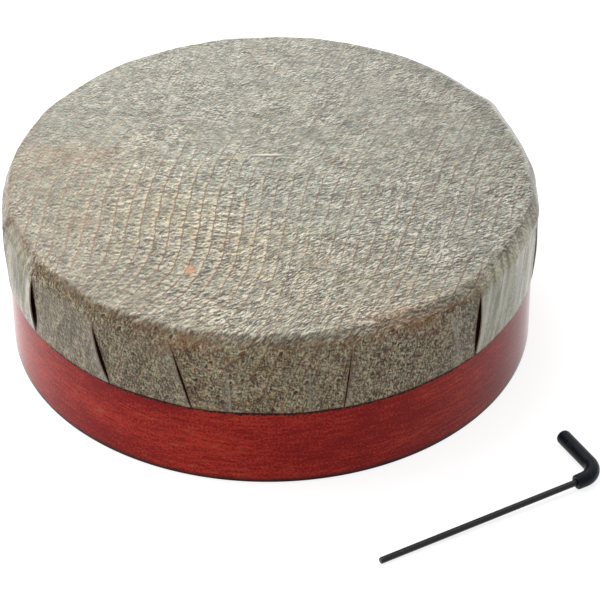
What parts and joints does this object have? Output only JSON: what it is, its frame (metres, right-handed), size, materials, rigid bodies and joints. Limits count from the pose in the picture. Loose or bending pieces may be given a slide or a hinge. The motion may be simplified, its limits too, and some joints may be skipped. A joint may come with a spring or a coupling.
{
  "type": "kanjira",
  "caption": "Small tunable frame drum with a slit printed skin head on a red wooden shell, an inner tuning ring worked by socket screws, a pair of jingles and a bent tuning key.",
  "frame": {"origin": "centre of the playing face, on its outer side", "axes": "+Z out of the playing face along the drum's axis, +Y towards the jingle slot, +X to the right seen from the side opposite the slot"},
  "size_m": [0.1945, 0.2303, 0.0594],
  "materials": {
    "red_varnish": "red stained wood fibre under satin-gloss varnish",
    "skin_print": "grey-brown printed skin film with a fine pebbled grain",
    "ring_ply": "plain sanded ply",
    "bracket_steel": "zinc-plated plate",
    "fixing_zinc": "bright zinc",
    "screw_steel": "black oxide",
    "jingle_metal": "spun nickel silver",
    "pin_steel": "bright drawn wire",
    "key_steel": "black oxide",
    "grip_black": "dipped black vinyl"
  },
  "bodies": {
    "drum": {"shell": "red_varnish", "head": "skin_print", "bracket_1": "bracket_steel", "bracket_2": "bracket_steel", "bracket_3": "bracket_steel", "bracket_4": "bracket_steel", "bracket_5": "bracket_steel", "bracket_6": "bracket_steel", "fixing_1a": "fixing_zinc", "fixing_1b": "fixing_zinc", "fixing_2a": "fixing_zinc", "fixing_2b": "fixing_zinc", "fixing_3a": "fixing_zinc", "fixing_3b": "fixing_zinc", "fixing_4a": "fixing_zinc", "fixing_4b": "fixing_zinc", "fixing_5a": "fixing_zinc", "fixing_5b": "fixing_zinc", "fixing_6a": "fixing_zinc", "fixing_6b": "fixing_zinc", "jingle_pin": "pin_steel"},
    "tuning_ring": {"tuning_ring": "ring_ply"},
    "tuning_screw_1": {"tuning_screw_1": "screw_steel"},
    "tuning_screw_2": {"tuning_screw_2": "screw_steel"},
    "tuning_screw_3": {"tuning_screw_3": "screw_steel"},
    "tuning_screw_4": {"tuning_screw_4": "screw_steel"},
    "tuning_screw_5": {"tuning_screw_5": "screw_steel"},
    "tuning_screw_6": {"tuning_screw_6": "screw_steel"},
    "lower_jingle": {"lower_jingle": "jingle_metal"},
    "upper_jingle": {"upper_jingle": "jingle_metal"},
    "key": {"key_rod": "key_steel", "key_sleeve": "grip_black"}
  },
  "joints": [
    {"name": "tuning_ring_travel", "type": "slide", "parent": "drum", "child": "tuning_ring", "axis": [0, 0, 1], "range_m": [-0.0035, 0]},
    {"name": "tuning_screw_1_turn", "type": "hinge", "parent": "tuning_ring", "child": "tuning_screw_1", "pos_m": [0.0754, 0, -0.0294], "axis": [0, 0, 1], "range_deg": [-1800.5, 0]},
    {"name": "tuning_screw_2_turn", "type": "hinge", "parent": "tuning_ring", "child": "tuning_screw_2", "pos_m": [0.0377, 0.0653, -0.0294], "axis": [0, 0, 1], "range_deg": [-1800.5, 0]},
    {"name": "tuning_screw_3_turn", "type": "hinge", "parent": "tuning_ring", "child": "tuning_screw_3", "pos_m": [-0.0377, 0.0653, -0.0294], "axis": [0, 0, 1], "range_deg": [-1800.5, 0]},
    {"name": "tuning_screw_4_turn", "type": "hinge", "parent": "tuning_ring", "child": "tuning_screw_4", "pos_m": [-0.0754, 0, -0.0294], "axis": [0, 0, 1], "range_deg": [-1800.5, 0]},
    {"name": "tuning_screw_5_turn", "type": "hinge", "parent": "tuning_ring", "child": "tuning_screw_5", "pos_m": [-0.0377, -0.0653, -0.0294], "axis": [0, 0, 1], "range_deg": [-1800.5, 0]},
    {"name": "tuning_screw_6_turn", "type": "hinge", "parent": "tuning_ring", "child": "tuning_screw_6", "pos_m": [0.0377, -0.0653, -0.0294], "axis": [0, 0, 1], "range_deg": [-1800.5, 0]},
    {"name": "lower_jingle_slide", "type": "slide", "parent": "drum", "child": "lower_jingle", "axis": [0, 0, 1], "range_m": [0, 0.0022]},
    {"name": "upper_jingle_slide", "type": "slide", "parent": "lower_jingle", "child": "upper_jingle", "axis": [0, 0, 1], "range_m": [0, 0.0022]},
    {"name": "key_lift", "type": "slide", "parent": "drum", "child": "key", "axis": [0, 0, 1], "range_m": [0, 0.1]}
  ],
  "couplings": [
    {"joint": "tuning_screw_1_turn", "follows": "tuning_ring_travel", "rad_per_m": 8976},
    {"joint": "tuning_screw_2_turn", "follows": "tuning_ring_travel", "rad_per_m": 8976},
    {"joint": "tuning_screw_3_turn", "follows": "tuning_ring_travel", "rad_per_m": 8976},
    {"joint": "tuning_screw_4_turn", "follows": "tuning_ring_travel", "rad_per_m": 8976},
    {"joint": "tuning_screw_5_turn", "follows": "tuning_ring_travel", "rad_per_m": 8976},
    {"joint": "tuning_screw_6_turn", "follows": "tuning_ring_travel", "rad_per_m": 8976}
  ]
}
